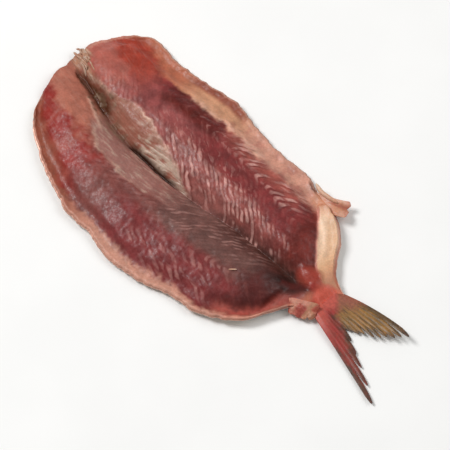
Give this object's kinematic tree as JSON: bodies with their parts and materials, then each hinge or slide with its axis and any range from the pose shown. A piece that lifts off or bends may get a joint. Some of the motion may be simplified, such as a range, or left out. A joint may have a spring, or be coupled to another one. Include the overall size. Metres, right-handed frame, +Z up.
{
  "type": "butterflied sardine",
  "caption": "Raw butterflied sardine: a headless fish opened along the belly and laid flat, skin side down, with its fillets joined along the back and the forked tail left on.",
  "frame": {"origin": "on the table under the middle of the fish's outline", "axes": "+X from the neck cut to the tail, +Y towards the right fillet, +Z up from the skin to the flesh"},
  "size_m": [0.1684, 0.0736, 0.0093],
  "materials": {
    "flesh": "moist raw fish flesh, wine red with pale muscle lines",
    "skin": "silver scaled skin, steel blue along the back and cream along the belly",
    "fin": "olive brown rays and web, partly stained red"
  },
  "bodies": {
    "root": {"sardine": "flesh"}
  },
  "joints": []
}
